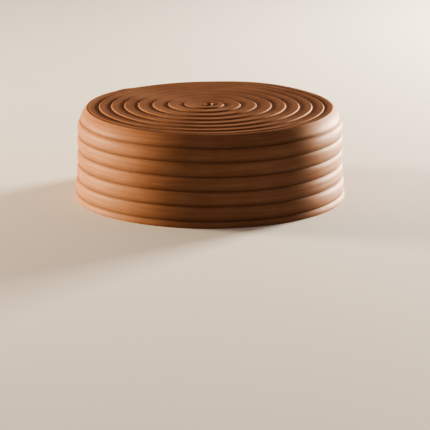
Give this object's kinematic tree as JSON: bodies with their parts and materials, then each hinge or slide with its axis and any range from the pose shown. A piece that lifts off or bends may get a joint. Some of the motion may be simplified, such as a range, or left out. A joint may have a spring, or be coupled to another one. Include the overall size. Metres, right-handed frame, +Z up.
{
  "type": "chocolate buttercream cake",
  "caption": "Round two-layer cake, whole, under milk chocolate buttercream with a palette-knife spiral on top and level comb rings round the side.",
  "frame": {"origin": "centre of the flat base", "axes": "+Z up along the cake's axis, the front of the cake faces -Y"},
  "size_m": [0.2196, 0.2196, 0.0754],
  "materials": {
    "buttercream": "satin milk chocolate buttercream, faintly streaked by the knife and comb"
  },
  "bodies": {
    "root": {"cake": "buttercream"}
  },
  "joints": []
}
